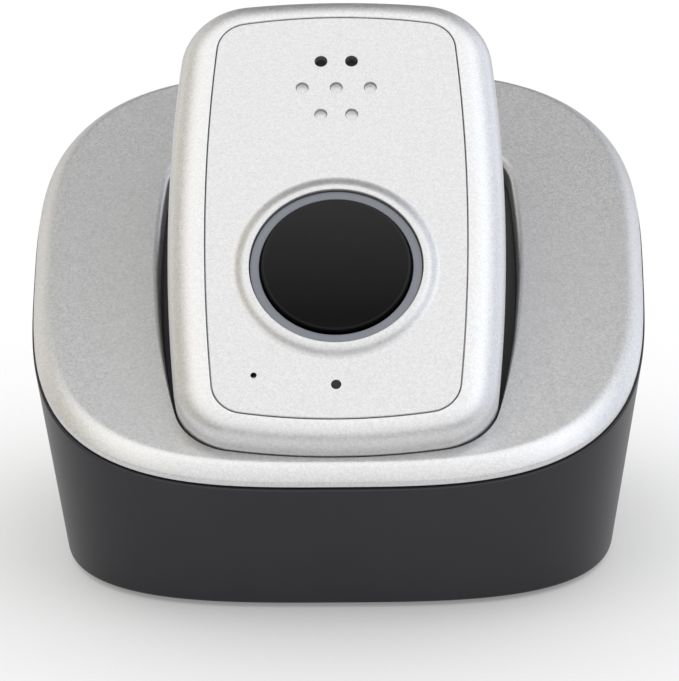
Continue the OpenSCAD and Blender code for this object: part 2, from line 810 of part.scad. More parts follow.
module case_screws() {
    color([0.6, 0.6, 0.62])
    in_pendant() at_points(post_places)
        translate([0, 0, case_seat_n])
        difference() {
            screw(small_screw_r - fit, head_r, head_t, 8);
            for (a = [0, 90]) rotate(a) block(case_cross, -head_t - 1, -head_t / 2);
        }
}

module button_ring() {
    color([0.55, 0.56, 0.6])
    in_pendant() translate([0, -button_drop, 0])
        difference() {
            bar(ring_r, -panel_t, ring_rise, $fn = 96);
            bar(cap_r + run, -far, far, $fn = 96);
        }
}

module sos_button() {
    skin = 1.4;
    stem_r = plunger_r + 0.6;
    low = flange_top_n - flange_t;
    color([0.1, 0.1, 0.11])
    in_pendant() translate([0, -button_drop, 0])
        rotate_extrude($fn = 96) polygon(concat(
            [[0, plunger_top_n + slide], [stem_r, plunger_top_n + slide], [stem_r, cap_rise - skin]],
            [[cap_r - skin, cap_rise - skin], [cap_r - skin, low], [cap_r + run + 0.6, low]],
            [[cap_r + run + 0.6, flange_top_n], [cap_r, flange_top_n]],
            [for (b = [0 : 22.5 : 90]) [cap_r - cap_round * (1 - cos(b)), cap_rise - cap_round * (1 - sin(b))]],
            [[0, cap_rise]]
        ));
}

module switch_body() {
    color([0.15, 0.15, 0.16])
    in_pendant() translate([0, -button_drop, 0])
        difference() {
            block([switch_w, switch_w], -board_n, switch_top_n);
            bar(plunger_r + slide, switch_top_n - 2, 0);
        }
}

module switch_plunger() {
    color([0.75, 0.72, 0.6])
    in_pendant() translate([0, -button_drop, 0])
        bar(plunger_r, switch_top_n - 2 + press_travel + fit, plunger_top_n);
}

module main_board() {
    color([0.05, 0.3, 0.15])
    in_pendant()
    difference() {
        pendant_slab(-shell_wall - bite, board_back_n, -board_n);
        at_points(post_places) bar(post_r + fit * 3, -far, 0);
        translate([0, -pad_drop, 0]) at_points([[-pad_x, 0], [pad_x, 0]]) bar(pad_r / 3 + fit, -far, 0);
    }
}

module cell_module() {
    color([0.7, 0.7, 0.72])
    in_pendant() translate([-module_x, module_v, 0])
        block(module_size, board_back_n - module_size.z, board_back_n);
}

module cell_antenna() {
    color([0.75, 0.6, 0.35])
    in_pendant() translate([0, half_l - shell_wall - 1.4 - strip_size.y / 2, 0])
        block(strip_size, -board_n, strip_size.z - board_n);
}

module position_antenna() {
    color([0.85, 0.8, 0.7])
    in_pendant() translate([patch_x, -patch_drop, 0])
        block(patch_size, -board_n, patch_size.z - board_n);
}

module battery_pack() {
    color([0.2, 0.3, 0.5])
    in_pendant() translate([0, battery_v, 0])
        block([battery_w, battery_l], board_back_n - pad_tape - battery_t, board_back_n - pad_tape);
}

module speaker() {
    color([0.2, 0.2, 0.2])
    in_pendant() translate([0, speaker_v, 0]) {
        bar(speaker_r, speaker_top_n - speaker_t * 0.4, speaker_top_n);
        bar(speaker_r * 0.75, speaker_top_n - speaker_t, speaker_top_n - speaker_t * 0.4);
    }
}

module speaker_mesh() {
    color([0.05, 0.05, 0.05])
    in_pendant() translate([0, speaker_v, 0])
        bar(speaker_r - 0.5, speaker_top_n, -panel_t);
}

module microphone() {
    color([0.5, 0.5, 0.52])
    in_pendant() translate([-mic_x, -mic_drop, 0]) bar(2.1, -panel_t - 1.7, -panel_t);
}

module status_led() {
    color([0.95, 0.95, 0.85])
    in_pendant() translate([0, -light_drop, 0]) block([1.6, 1.6], -board_n, 0.8 - board_n);
}

module light_pipe() {
    color([0.35, 0.36, 0.38])
    in_pendant() translate([0, -light_drop, 0]) {
        bar(light_r, -panel_t - bite, -fit);
        bar(light_r * 1.7, fit + 0.8 - board_n, -panel_t);
    }
}

module charge_pads() {
    color([0.9, 0.75, 0.35])
    in_pendant() translate([0, -pad_drop, 0])
        at_points([[-pad_x, 0], [pad_x, 0]]) {
            bar(pad_r, pad_face_n, pad_face_n + pad_t);
            bar(pad_r / 3, pad_face_n + pad_t - bite, -board_n);
        }
}

base_body();
base_plate();
rubber_feet();
base_screws();
top_cover();
dock_cup();
dock_screws();
contact_board();
board_screws();
contact_barrels();
contact_pin_left();
contact_pin_right();
power_board();
power_jack();
jack_pin();
power_leads();
front_shell();
front_panel();
rear_shell();
case_gasket();
case_screws();
button_ring();
sos_button();
switch_body();
switch_plunger();
main_board();
cell_module();
cell_antenna();
position_antenna();
battery_pack();
speaker();
speaker_mesh();
microphone();
status_led();
light_pipe();
charge_pads();
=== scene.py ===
# Silver help pendant leaning in its charging cradle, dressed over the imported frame.
import json
import math

import bmesh
import bpy
from mathutils import Matrix, Vector
from mathutils.geometry import delaunay_2d_cdt

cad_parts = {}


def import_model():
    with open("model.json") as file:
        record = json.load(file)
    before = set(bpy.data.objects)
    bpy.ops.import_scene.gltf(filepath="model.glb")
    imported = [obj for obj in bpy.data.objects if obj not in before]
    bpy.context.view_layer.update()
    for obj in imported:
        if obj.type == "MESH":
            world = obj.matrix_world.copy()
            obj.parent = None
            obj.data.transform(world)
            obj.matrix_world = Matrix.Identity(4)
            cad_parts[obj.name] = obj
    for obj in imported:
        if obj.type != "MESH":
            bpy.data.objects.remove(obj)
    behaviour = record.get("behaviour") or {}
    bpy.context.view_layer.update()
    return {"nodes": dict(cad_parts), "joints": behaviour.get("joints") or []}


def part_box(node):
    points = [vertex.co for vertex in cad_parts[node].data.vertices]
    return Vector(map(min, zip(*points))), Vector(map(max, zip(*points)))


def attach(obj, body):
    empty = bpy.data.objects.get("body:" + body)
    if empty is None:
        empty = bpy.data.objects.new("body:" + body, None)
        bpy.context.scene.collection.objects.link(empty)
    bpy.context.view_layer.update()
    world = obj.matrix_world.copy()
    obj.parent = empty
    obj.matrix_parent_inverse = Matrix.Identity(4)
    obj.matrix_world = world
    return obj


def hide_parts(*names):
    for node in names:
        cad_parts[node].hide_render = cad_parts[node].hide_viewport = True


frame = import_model()
nodes = frame["nodes"]
mm = 0.001          # sizes below are millimetres and degrees
print("frame loaded:", len(nodes), "nodes")


def sind(a):
    return math.sin(math.radians(a))


def cosd(a):
    return math.cos(math.radians(a))


def tand(a):
    return math.tan(math.radians(a))


def steps(low, high, count):
    return [low + (high - low) * i / count for i in range(count + 1)]


def quarter(count):                        # a quarter round: share turned in, share left to rise
    return [(1 - cosd(b), 1 - sind(b)) for b in steps(0, 90, count)]


# driving sizes of the two bodies

cradle = {
    "width": 95, "depth": 90,              # at the seam
    "seamFront": 19, "seamBack": 60,       # seam height
    "draft": 7.5, "squareness": 3.2,
    "wall": 2, "footRise": 0.6, "seamGap": 0.3,
}
pendant = {
    "width": 50.6, "length": 77.8, "thick": 22, "wideAt": 1.8,
    "sideR": 278, "endR": 149, "cornerR": 11.3, "lowEndR": 89, "lowCornerR": 10,
    "bezelWidth": 5.7, "bezelEnd": 4.4, "bezelDrop": 3.6, "backRound": 5,
    "panelSideR": 304, "panelEndR": 92, "panelCornerR": 5,
    "wall": 1.8, "joint": 12, "gasket": 0.4,
    "panelThick": 1.4, "fit": 0.1,
    "buttonDrop": 9.7, "ringRise": 0.2,
}
ringCount = 384                            # points round every loft
arcCounts = {"end": 28, "corner": 36, "side": 64}
turnCounts = {"button": 192, "hole": 40, "bore": 64}
skin = {"flat": 1e-9, "weld": 2e-7, "crispFrom": 38}   # closeness of points, angle of a crisp edge

draftTan = tand(cradle["draft"])
slope = (cradle["seamBack"] - cradle["seamFront"]) / cradle["depth"]
seamMid = (cradle["seamFront"] + cradle["seamBack"]) / 2
planY = -draftTan * (cradle["seamBack"] - cradle["seamFront"]) / 2
halfDepth = cradle["depth"] / 2 - planY - cradle["seamBack"] * draftTan
halfWidth = cradle["width"] / 2 - (seamMid + slope * planY) * draftTan
halfLength = pendant["length"] / 2

# the pendant's axes come from the button's travel and the ring's place in the frame
pressAxis = next(j["axis"] for j in frame["joints"] if j["name"] == "button_press")
outward = -Vector(pressAxis).normalized()
upward = Vector((0, outward.z, -outward.y))
ringLow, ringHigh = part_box("button_ring")
ringDepth = (pendant["ringRise"] - pendant["panelThick"]) / 2
faceCentre = (ringLow + ringHigh) / 2 / mm + upward * pendant["buttonDrop"] - outward * ringDepth


def squared(u):
    return math.copysign(abs(u) ** (2 / cradle["squareness"]), u)


def planUnits():
    for i in range(ringCount):
        a = 360 * i / ringCount - 90
        yield squared(round(cosd(a), 12)), squared(round(sind(a), 12))


def seamRing(inset, rise, narrow=0):       # on the cradle wall, parallel to the sloping seam
    ring = []
    for ux, uy in planUnits():
        z = (seamMid + slope * (planY + (halfDepth - inset) * uy)) / (1 - slope * draftTan * uy)
        reach = z * draftTan - inset
        wide, deep = halfWidth + reach - narrow, halfDepth + reach
        ring.append(Vector((wide * ux, planY + deep * uy, z + rise)))
    return ring


def levelRing(inset, height):              # on the cradle wall, at one height
    reach = height * draftTan - inset
    wide, deep = halfWidth + reach, halfDepth + reach
    return [Vector((wide * ux, planY + deep * uy, height)) for ux, uy in planUnits()]


def between(ringA, ringB, share):
    return [a.lerp(b, share) for a, b in zip(ringA, ringB)]


def crossing(a, ra, b, rb, side):          # where two circles meet
    d = (b - a).length
    u = (b - a) / d
    k = (ra * ra - rb * rb + d * d) / (2 * d)
    return a + k * u + side * math.sqrt(ra * ra - k * k) * Vector((u.y, -u.x))


def heading(p, q):
    return math.degrees(math.atan2(q.y - p.y, q.x - p.x))


def arc(centre, r, a, b, count):
    return [centre + r * Vector((cosd(t), sind(t))) for t in steps(a, b, count)[:-1]]


def centres(form):                         # of the side, bottom and top arcs, then the two corners
    halfW, low, high, wideAt, sideR, endR, cornerR, lowEndR, lowCornerR = form
    side = Vector((halfW - sideR, wideAt))
    foot, head = Vector((0, low + lowEndR)), Vector((0, high - endR))
    lowCorner = crossing(side, sideR - lowCornerR, foot, lowEndR - lowCornerR, 1)
    return side, foot, head, lowCorner, crossing(side, sideR - cornerR, head, endR - cornerR, -1)


def outline(form, grow):                   # barrel of tangent arcs, from the bottom middle
    high, sideR, endR, cornerR, lowEndR, lowCornerR = form[2], *form[4:]
    side, foot, head, c, d = centres(form)
    half = arc(foot, lowEndR + grow, -90, heading(foot, c), arcCounts["end"])
    half += arc(c, lowCornerR + grow, heading(foot, c), heading(side, c), arcCounts["corner"])
    half += arc(side, sideR + grow, heading(side, c), heading(side, d), arcCounts["side"])
    half += arc(d, cornerR + grow, heading(side, d), heading(head, d), arcCounts["corner"])
    half += arc(head, endR + grow, heading(head, d), 90, arcCounts["end"])
    half.append(Vector((0, high + grow)))
    return half + [Vector((-p.x, p.y)) for p in half[-2:0:-1]]


pendantForm = (
    pendant["width"] / 2, -halfLength, halfLength, pendant["wideAt"],
    pendant["sideR"], pendant["endR"], pendant["cornerR"], pendant["lowEndR"], pendant["lowCornerR"],
)
panelForm = (
    pendant["width"] / 2 - pendant["bezelWidth"],
    pendant["bezelEnd"] - halfLength, halfLength - pendant["bezelEnd"], pendant["wideAt"],
    pendant["panelSideR"], *(pendant["panelEndR"], pendant["panelCornerR"]) * 2,
)


def onFace(x, v, n):                       # across, along and out from the face
    return faceCentre + Vector((x, 0, 0)) + v * upward + n * outward


def faceRing(grow, n, form=pendantForm):
    return [onFace(p.x, p.y, n) for p in outline(form, grow)]


def bezelRing(share, n, rim):              # part of the way from the pendant's outline to the panel's
    pairs = zip(outline(pendantForm, 0), outline(panelForm, rim))
    return [onFace(*a.lerp(b, share), n) for a, b in pairs]


def circle(x, v, r, n, count):
    return [onFace(x + r * cosd(a), v + r * sind(a), n) for a in steps(0, 360, count)[:-1]]


def encloses(loop, point):                 # even-odd count of the sides right of a point
    hits = 0
    for a, b in zip(loop, loop[1:] + loop[:1]):
        if (a.y > point.y) != (b.y > point.y):
            hits += point.x < a.x + (point.y - a.y) * (b.x - a.x) / (b.y - a.y)
    return hits % 2 == 1


class Shell:
    # collects rings and flats of one piece, then welds them into a mesh
    def __init__(self):
        self.points, self.faces = [], []

    def add(self, ring):
        start = len(self.points)
        self.points += ring
        return start

    def loft(self, rings, closed=False):
        count = len(rings[0])
        starts = [self.add(r) for r in rings]
        for a, b in zip(starts, starts[1:] + starts[:1] if closed else starts[1:]):
            for i in range(count):
                j = (i + 1) % count
                self.faces.append((a + i, a + j, b + j, b + i))
        return self

    def flat(self, outer, *holes):         # level skin between an outline and its holes
        rings = [outer, *holes]
        spanX = (outer[len(outer) // 4] - outer[0]).normalized()
        normal = spanX.cross(outer[len(outer) // 2] - outer[0]).normalized()
        spanY = normal.cross(spanX)
        pts, edges, loops = [], [], []
        for ring in rings:
            first = len(pts)
            pts += [Vector(((p - outer[0]).dot(spanX), (p - outer[0]).dot(spanY))) for p in ring]
            loop = list(range(first, len(pts)))
            edges += list(zip(loop, loop[1:] + loop[:1]))
            loops.append(pts[first:])
        corners, _, triangles, *_ = delaunay_2d_cdt(pts, edges, [], 1, skin["flat"])
        start = self.add([outer[0] + p.x * spanX + p.y * spanY for p in corners])
        for face in triangles:
            middle = sum((corners[i] for i in face), Vector((0, 0))) / len(face)
            if not any(encloses(loop, middle) for loop in loops[1:]):
                self.faces.append(tuple(start + i for i in face))
        return self

    def disc(self, ring):
        start = self.add(ring)
        self.faces.append(tuple(range(start, start + len(ring))))
        return self

    def piece(self, name):
        mesh = bpy.data.meshes.new(name)
        mesh.from_pydata([tuple(p * mm) for p in self.points], [], self.faces)
        form = bmesh.new()
        form.from_mesh(mesh)
        bmesh.ops.remove_doubles(form, verts=form.verts, dist=skin["weld"])
        bmesh.ops.recalc_face_normals(form, faces=form.faces)
        form.to_mesh(mesh)
        form.free()
        return smoothed(linked(name, mesh))


def linked(name, data):
    made = bpy.data.objects.new(name, data)
    bpy.context.scene.collection.objects.link(made)
    return made


def smoothed(piece):                       # soft shading that keeps crisp edges
    piece.data.shade_smooth()
    piece.data.set_sharp_from_angle(angle=math.radians(skin["crispFrom"]))
    piece.modifiers.new("evenNormals", "WEIGHTED_NORMAL").keep_sharp = True
    return piece


def cutAway(piece, *cutters):              # bores through a finished shell
    for cutter in cutters:
        bore = piece.modifiers.new("bore", "BOOLEAN")
        bore.operation, bore.solver, bore.object = "DIFFERENCE", "EXACT", cutter
    piece.modifiers.remove(piece.modifiers["evenNormals"])
    bpy.context.view_layer.update()
    solved = piece.evaluated_get(bpy.context.evaluated_depsgraph_get())
    carved = bpy.data.meshes.new_from_object(solved)
    piece.modifiers.clear()
    piece.data = carved
    smoothed(piece)
    for cutter in cutters:
        bpy.data.objects.remove(cutter)


def lathe(profile, x, v, count, shell=None):   # (radius, depth) pairs turned about the pendant's normal
    return (shell or Shell()).loft([circle(x, v, r, n, count) for r, n in profile])


def drill(name, start, axis, profile):         # (radius, depth) pairs turned into a closed cutter
    across = Vector((1, 0, 0))
    along = axis.cross(across)
    spokes = [cosd(a) * across + sind(a) * along for a in steps(0, 360, turnCounts["bore"])[:-1]]
    rings = [[start + axis * n + r * spoke for spoke in spokes] for r, n in profile]
    return Shell().loft(rings).disc(rings[0]).disc(rings[-1]).piece(name)


def place(piece, body, finish, replaced):
    piece.data.materials.clear()
    piece.data.materials.append(finish)
    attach(piece, body)
    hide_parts(replaced)


# shader wiring

class Wire:
    # a socket that takes part in sums
    def __init__(self, finish, socket):
        self.finish, self.socket = finish, socket

    def sum(self, operation, a, b):
        return self.finish.node("ShaderNodeMath", {"operation": operation}, {0: a, 1: b})

    def __add__(self, other):
        return self.sum("ADD", self, other)

    def __radd__(self, other):
        return self.sum("ADD", other, self)

    def __sub__(self, other):
        return self.sum("SUBTRACT", self, other)

    def __rsub__(self, other):
        return self.sum("SUBTRACT", other, self)

    def __mul__(self, other):
        return self.sum("MULTIPLY", self, other)

    def __rmul__(self, other):
        return self.sum("MULTIPLY", other, self)


noiseDetail = {"broad": 2, "paint": 3, "fine": 4}
midMask = 0.5                              # middle of a mask that runs from 0 to 1


class Finish:
    # one node material; node() makes every node it holds
    def __init__(self, name, tree=None):
        if tree is None:
            self.material = bpy.data.materials.new(name)
            self.material.use_nodes = True
            tree = self.material.node_tree
        self.tree = tree
        self.tree.nodes.clear()

    def node(self, kind, settings, sockets, out=0):
        made = self.tree.nodes.new(kind)
        for key, value in settings.items():
            setattr(made, key, value)
        for key, value in sockets.items():
            named = [s for s in made.inputs if s.enabled and s.name == key]
            socket = made.inputs[key] if isinstance(key, int) else named[0]
            if isinstance(value, Wire):
                self.tree.links.new(value.socket, socket)
            else:
                socket.default_value = value
        shown = made.outputs if isinstance(out, str) else [s for s in made.outputs if s.enabled]
        return Wire(self, shown[out]) if shown else None

    def noise(self, size, detail):         # grain of a given size in millimetres
        return self.node("ShaderNodeTexNoise", {}, {
            "Vector": self.place, "Scale": 1 / (size * mm), "Detail": noiseDetail[detail],
        })

    def flakes(self, size):                # one random value to each cell
        cell = self.node("ShaderNodeTexVoronoi", {}, {
            "Vector": self.place, "Scale": 1 / (size * mm),
        }, "Color")
        return self.node("ShaderNodeSeparateColor", {}, {"Color": cell})

    def off(self, point):                  # distance from a point given in millimetres
        return self.node("ShaderNodeVectorMath", {"operation": "DISTANCE"}, {
            0: self.place, 1: point * mm,
        }, "Value")

    def ramp(self, value, low, high, shape="LINEAR"):   # 0 at low, 1 at high
        return self.node("ShaderNodeMapRange", {"interpolation_type": shape}, {
            "Value": value, "From Min": low, "From Max": high,
        })

    def blend(self, share, a, b):          # colours by a mask
        return self.node("ShaderNodeMix", {"data_type": "RGBA"}, {"Factor": share, "A": a, "B": b})

    def relief(self, height, depth, strength):          # bump of a given depth in millimetres
        return self.node("ShaderNodeBump", {}, {
            "Height": height, "Distance": depth * mm, "Strength": strength,
        })

    @property
    def place(self):
        return self.node("ShaderNodeTexCoord", {}, {}, "Object")

    def paint(self, **sockets):
        names = {key.replace("_", " "): value for key, value in sockets.items()}
        self.close(self.node("ShaderNodeBsdfPrincipled", {}, names))
        return self.material

    def close(self, shader, kind="ShaderNodeOutputMaterial"):
        self.node(kind, {}, {"Surface": shader})


def grey(value, tint=(1, 1, 1)):
    return (value * tint[0], value * tint[1], value * tint[2], 1)


def silverPaint(name, look, paintedShade=None):
    f = Finish(name)
    flake = f.flakes(look["flake"])
    cloud = f.noise(look["cloud"], "paint")
    share = flake * look["flakeShare"] + cloud * (1 - look["flakeShare"])
    tone = f.blend(share, grey(look["dark"], look["tint"]), grey(look["light"], look["tint"]))
    if paintedShade is not None:                   # painted shade: dark inside a small hole
        inside = f.ramp(f.off(paintedShade), look["paintedShadeTo"] * mm, look["paintedShadeFrom"] * mm)
        tone = f.blend(inside, tone, grey(look["paintedShadeTone"]))
    return f.paint(
        Base_Color=tone, Metallic=look["metallic"],
        Roughness=look["rough"] + (flake - midMask) * look["sparkle"],
        Normal=f.relief(flake + cloud, look["grain"], look["bump"]),
    )


def mouldedPlastic(name, look):
    f = Finish(name)
    grain, cloud = f.noise(look["grain"], "fine"), f.noise(look["cloud"], "broad")
    tone = f.blend(cloud, grey(look["dark"], look["tint"]), grey(look["light"], look["tint"]))
    return f.paint(
        Base_Color=tone, Metallic=look.get("metallic", 0.0),
        Roughness=look["rough"] + (grain - midMask) * look["uneven"],
        Specular_IOR_Level=look.get("specular", 0.5),
        Normal=f.relief(grain, look["depth"], look["bump"]),
    )


def buttonPlastic(name, look):             # painted light: paler towards its upper edge, with a painted highlight ring on the rim
    f = Finish(name)
    grain, cloud = f.noise(look["grain"], "fine"), f.noise(look["cloud"], "broad")
    start = faceCentre.dot(upward)
    level = f.node("ShaderNodeVectorMath", {"operation": "DOT_PRODUCT"}, {0: f.place, 1: upward}, "Value")
    # painted light: the tone rises towards the cap's upper edge
    paintedLightRise = f.ramp(level, (start + look["foot"]) * mm, (start + look["head"]) * mm)
    # painted highlight: a pale ring on the cap's rounded rim
    out = f.off(onFace(0, -pendant["buttonDrop"], look["crown"]))
    away = f.node("ShaderNodeMath", {"operation": "ABSOLUTE"}, {0: out - look["paintedRimHighlightAt"] * mm})
    rimHighlight = f.ramp(away, look["paintedRimHighlightWidth"] * mm, 0.0, "SMOOTHSTEP")
    share = paintedLightRise + (cloud - midMask) * look["mottle"] + rimHighlight * look["paintedRimHighlight"]
    tone = f.blend(share, grey(look["low"]), grey(look["high"]))
    return f.paint(
        Base_Color=tone, Roughness=look["rough"] + (grain - midMask) * look["uneven"],
        Specular_IOR_Level=look["specular"], Normal=f.relief(grain, look["depth"], look["bump"]),
    )


silverLook = {
    "dark": 0.53, "light": 0.70, "tint": (1, 1, 1.005), "metallic": 0.85,
    "rough": 0.36, "sparkle": 0.12, "flake": 0.22, "cloud": 0.5, "flakeShare": 0.65,
    "grain": 0.02, "bump": 0.35,
}
finishes = {
    "silver": silverPaint("silverPaint", silverLook),
    "charcoal": mouldedPlastic("charcoalBody", {
        "dark": 0.0180, "light": 0.0220, "tint": (1.04, 0.97, 1.16), "rough": 0.4, "uneven": 0.08,
        "grain": 0.35, "cloud": 8, "depth": 0.01, "bump": 0.2, "specular": 0.3,
    }),
    "buttonBlack": buttonPlastic("buttonBlack", {
        # low to high is painted light, paler towards the cap's upper edge
        "low": 0.0005, "high": 0.0205, "foot": -18.5, "head": 1.35, "mottle": 0.12,
        "rough": 0.45, "uneven": 0.1, "specular": 0.08,
        "grain": 0.3, "cloud": 3, "depth": 0.008, "bump": 0.2,
        # crown and the last three keys place the painted highlight ring on the rim
        "crown": 1, "paintedRimHighlightAt": 10.75, "paintedRimHighlightWidth": 0.22, "paintedRimHighlight": 0.6,
    }),
    "ringGrey": mouldedPlastic("ringGrey", {
        "dark": 0.185, "light": 0.22, "tint": (0.93, 0.99, 1.12), "rough": 0.5, "uneven": 0.08,
        "grain": 0.3, "cloud": 4, "depth": 0.008, "bump": 0.2,
    }),
    "darkPlastic": mouldedPlastic("darkPlastic", {
        "dark": 0.032, "light": 0.040, "tint": (1, 1, 1), "rough": 0.55, "uneven": 0.1,
        "grain": 0.3, "cloud": 5, "depth": 0.01, "bump": 0.25,
    }),
    "cupPlastic": mouldedPlastic("cupPlastic", {
        "dark": 0.080, "light": 0.098, "tint": (1, 0.99, 1.02), "rough": 0.55, "uneven": 0.1,
        "grain": 0.3, "cloud": 5, "depth": 0.01, "bump": 0.25,
    }),
    "rubber": mouldedPlastic("softRubber", {
        "dark": 0.012, "light": 0.018, "tint": (1, 1, 1), "rough": 0.75, "uneven": 0.1,
        "grain": 0.2, "cloud": 2, "depth": 0.01, "bump": 0.3,
    }),
    "steel": mouldedPlastic("screwSteel", {
        "dark": 0.45, "light": 0.55, "tint": (1, 1, 1), "rough": 0.3, "uneven": 0.12,
        "grain": 0.12, "cloud": 1, "depth": 0.004, "bump": 0.2, "metallic": 1.0,
    }),
    "gold": mouldedPlastic("contactGold", {
        "dark": 0.62, "light": 0.72, "tint": (1, 0.75, 0.36), "rough": 0.25, "uneven": 0.1,
        "grain": 0.1, "cloud": 1, "depth": 0.003, "bump": 0.2, "metallic": 1.0,
    }),
    "board": mouldedPlastic("boardGreen", {
        "dark": 0.10, "light": 0.14, "tint": (0.12, 1, 0.35), "rough": 0.4, "uneven": 0.1,
        "grain": 0.4, "cloud": 3, "depth": 0.01, "bump": 0.2,
    }),
    "tin": mouldedPlastic("shieldTin", {
        "dark": 0.5, "light": 0.6, "tint": (1, 1, 0.98), "rough": 0.35, "uneven": 0.12,
        "grain": 0.15, "cloud": 2, "depth": 0.004, "bump": 0.2, "metallic": 1.0,
    }),
    "pale": mouldedPlastic("palePlastic", {
        "dark": 0.5, "light": 0.6, "tint": (1, 0.94, 0.8), "rough": 0.5, "uneven": 0.1,
        "grain": 0.3, "cloud": 2, "depth": 0.01, "bump": 0.2,
    }),
    "wrap": mouldedPlastic("batteryWrap", {
        "dark": 0.05, "light": 0.07, "tint": (0.6, 1, 2.2), "rough": 0.35, "uneven": 0.1,
        "grain": 0.4, "cloud": 4, "depth": 0.02, "bump": 0.2,
    }),
    "window": mouldedPlastic("lightWindow", {
        "dark": 0.008, "light": 0.014, "tint": (1, 1, 1.03), "rough": 0.3, "uneven": 0.06,
        "specular": 0.25, "grain": 0.3, "cloud": 1, "depth": 0.004, "bump": 0.1,
    }),
}
print("finishes made:", len(finishes))


# cradle body: drafted wall with a rolled toe and a crisp top edge

bodyLook = {
    "toe": 0.6, "topEdge": 0.2, "toeSteps": 6, "edgeSteps": 5, "wallSteps": 12,
    "jackHeight": 13.6, "jackR": 4.4, "jackLip": 0.25, "jackReach": 6,
}


def cradleBody():
    look, wall, rise = bodyLook, cradle["wall"], cradle["footRise"]
    toe, edge = look["toe"], look["topEdge"]
    toeRings = [levelRing(toe * left, rise + toe * turned) for turned, left in quarter(look["toeSteps"])]
    topRings = [seamRing(edge * turned, -edge * left) for turned, left in quarter(look["edgeSteps"])]
    wallRings = [between(toeRings[-1], topRings[0], s) for s in steps(0, 1, look["wallSteps"])[1:-1]]
    inside = [seamRing(wall - edge, 0), seamRing(wall, -edge), levelRing(wall, rise)]
    piece = Shell().loft(toeRings + wallRings + topRings + inside, closed=True).piece("cradleBody")
    wallY = planY + halfDepth + look["jackHeight"] * draftTan
    mouth = Vector((0, wallY, look["jackHeight"]))
    level, square = Vector((0, 1, 0)), Vector((0, cosd(cradle["draft"]), -sind(cradle["draft"])))
    r, lip, reach = look["jackR"], look["jackLip"], look["jackReach"]
    cutAway(piece, drill("jackHole", mouth, level, [(r, -reach), (r, reach)]),
            drill("jackLip", mouth, square, [(r - lip, -2 * lip), (r + 2 * lip, lip)]))
    place(piece, "cradle", finishes["charcoal"], "base_body")


coverLook = {
    "setIn": 0.25, "lip": 0.8, "round": 1.8, "sideRound": 3, "flatness": 1.9, "thick": 2,
    "tongueFit": 0.1, "tongueDrop": 2, "tongueThick": 0.9,
    "skirtWidth": 0.7, "skirtTo": -1.6, "edge": 0.12,
    "mouthSide": 1.15, "mouthGap": 0.15, "mouthWideAt": 10, "mouthSideR": 150,
    "edgeSteps": 3, "rollSteps": 20, "deckSteps": 10, "mouthSteps": 10,
}
pocket = {
    "side": 2.75, "wideAt": 8, "top": 31.5, "sideR": 168, "endR": 145, "cornerR": 10.6, "run": 0.3,
}
pocketForm = (
    pendant["width"] / 2 + pocket["side"], -halfLength - pocket["run"], pocket["top"], pocket["wideAt"],
    pocket["sideR"], pocket["endR"], pocket["cornerR"], pendant["lowEndR"], pendant["lowCornerR"],
)
mouthForm = (
    pocketForm[0] + coverLook["mouthSide"], -halfLength - coverLook["mouthGap"],
    pocketForm[2] + coverLook["mouthSide"], coverLook["mouthWideAt"], coverLook["mouthSideR"],
    *pocketForm[5:],
)


def deckDepth(v, rise):                    # depth from the face, at v, of the plane above the seam
    start = onFace(0, v, 0)
    return (seamMid + rise + slope * start.y - start.z) / (outward.z - slope * outward.y)


def pocketRing(points, rise, drop=0):
    return [onFace(p.x, p.y, deckDepth(p.y, rise) - drop) for p in points]


def slopingCover():
    look, gap, inside = coverLook, cradle["seamGap"], cradle["wall"] + coverLook["tongueFit"]
    setIn, edge, lipTop, drop = look["setIn"], look["edge"], gap + look["lip"], look["tongueDrop"]
    top = lipTop + look["round"]
    under = top - look["thick"]
    outer = [seamRing(setIn + edge * left, gap + edge * turned)
             for turned, left in quarter(look["edgeSteps"])]
    for turned, left in quarter(look["rollSteps"]):    # a roll that is flatter towards the lip
        rise = look["round"] * (1 - left) ** look["flatness"]
        narrow = (look["sideRound"] - look["round"]) * turned
        outer.append(seamRing(setIn + look["round"] * turned, lipTop + rise, narrow))
    mouth, walls = outline(mouthForm, 0), outline(pocketForm, 0)
    inner = [pocketRing(between(mouth, walls, 1 - left), top, look["mouthSide"] * turned)
             for turned, left in quarter(look["mouthSteps"])]
    deck = [between(outer[-1], inner[0], s) for s in steps(0, 1, look["deckSteps"])[1:-1]]
    skirt = outline(pocketForm, look["skirtWidth"])
    tongueOut = inside + drop * draftTan
    tongueIn = tongueOut + look["tongueThick"]
    hidden = [pocketRing(walls, look["skirtTo"]), pocketRing(skirt, look["skirtTo"]),
              pocketRing(skirt, under), seamRing(tongueIn, under),
              seamRing(tongueIn, -drop), seamRing(tongueOut, -drop), seamRing(inside, gap)]
    piece = Shell().loft(outer + deck + inner + hidden, closed=True).piece("slopingCover")
    place(piece, "cradle", finishes["silver"], "top_cover")


# pendant shells

shellLook = {
    "rim": 0.2, "ledge": 1.8, "ledgeThick": 1.2, "jointEdge": 0.15, "bezelSkin": 1,
    "edgeSteps": 4, "bezelSteps": 24, "rimSteps": 5, "backSteps": 18,
}


